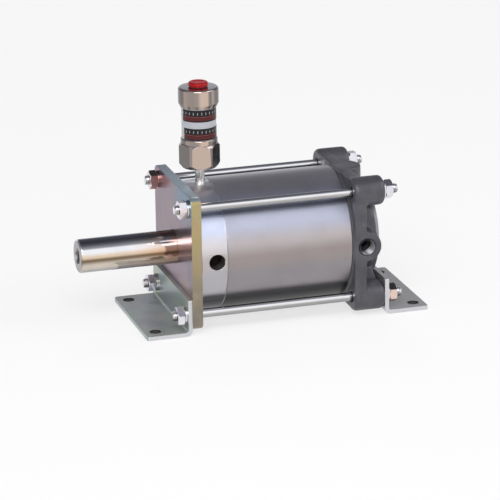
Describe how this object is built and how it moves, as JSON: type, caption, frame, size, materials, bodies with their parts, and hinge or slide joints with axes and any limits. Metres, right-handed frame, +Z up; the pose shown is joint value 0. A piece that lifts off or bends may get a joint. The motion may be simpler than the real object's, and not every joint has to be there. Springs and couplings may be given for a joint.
{
  "type": "air-hydraulic booster",
  "caption": "Tie-rod air cylinder whose large piston drives a small ram into a front hydraulic tube, with an oil cup on top and two angle feet.",
  "frame": {"origin": "on the mounting surface under the feet, midway along the object's full length, below the cylinder axis", "axes": "+X along the cylinder axis from the hydraulic tube to the rear cover, +Z up towards the oil cup; the air ports face -Y"},
  "size_m": [0.3486, 0.14, 0.2431],
  "materials": {
    "plated_plate": "glossy zinc plate with a violet tint",
    "chromed_tube": "polished hard chrome",
    "machined_cover": "fine turned",
    "satin_barrel": "satin anodised",
    "cast_cover": "dark grey painted casting",
    "bright_rod": "bright ground",
    "zinc_fastener": "bright zinc plate",
    "zinc_foot": "zinc plate with a green and blue tint",
    "nickel_cup": "bright nickel plate",
    "clear_tube": "clear",
    "label": "printed film",
    "red_plug": "glossy",
    "rubber": "moulded",
    "white_plastic": "machined",
    "bronze_bush": "turned",
    "chromed_ram": "ground hard chrome",
    "piston_alloy": "turned"
  },
  "bodies": {
    "housing": {"front_plate": "plated_plate", "hydraulic_tube": "chromed_tube", "front_cover": "machined_cover", "barrel": "satin_barrel", "rear_cover": "cast_cover", "upper_tie_rods": "bright_rod", "lower_tie_rods": "bright_rod", "front_tie_rod_nuts": "zinc_fastener", "rear_tie_rod_nuts": "zinc_fastener", "front_spring_washers": "zinc_fastener", "rear_spring_washers": "zinc_fastener", "front_foot": "zinc_foot", "rear_foot": "zinc_foot", "oil_cup_nipple": "nickel_cup", "oil_cup_base": "nickel_cup", "oil_cup_sight_tube": "clear_tube", "oil_cup_lower_gasket": "rubber", "oil_cup_upper_gasket": "rubber", "oil_cup_cap": "nickel_cup", "level_label_lower": "label", "level_label_upper": "label", "filler_plug_gasket": "rubber", "front_barrel_seal": "rubber", "rear_barrel_seal": "rubber", "front_bumper": "rubber", "rear_bumper": "rubber", "tube_collar_seal": "rubber", "high_pressure_seal": "rubber", "high_pressure_backup_ring": "white_plastic", "gland_bush": "bronze_bush", "ram_gland_seal": "rubber", "gland_retaining_ring": "zinc_fastener"},
    "ram_assembly": {"ram": "chromed_ram", "air_piston": "piston_alloy", "piston_seal_front": "rubber", "piston_seal_rear": "rubber", "piston_wear_ring": "white_plastic", "ram_static_seal": "rubber", "ram_washer": "zinc_fastener", "ram_nut": "zinc_fastener"},
    "filler_plug": {"filler_plug": "red_plug"}
  },
  "joints": [
    {"name": "ram_stroke", "type": "slide", "parent": "housing", "child": "ram_assembly", "axis": [-1, 0, 0], "range_m": [0, 0.08]},
    {"name": "filler_plug_lift", "type": "slide", "parent": "housing", "child": "filler_plug", "axis": [0, 0, 1], "range_m": [0, 0.02]}
  ]
}
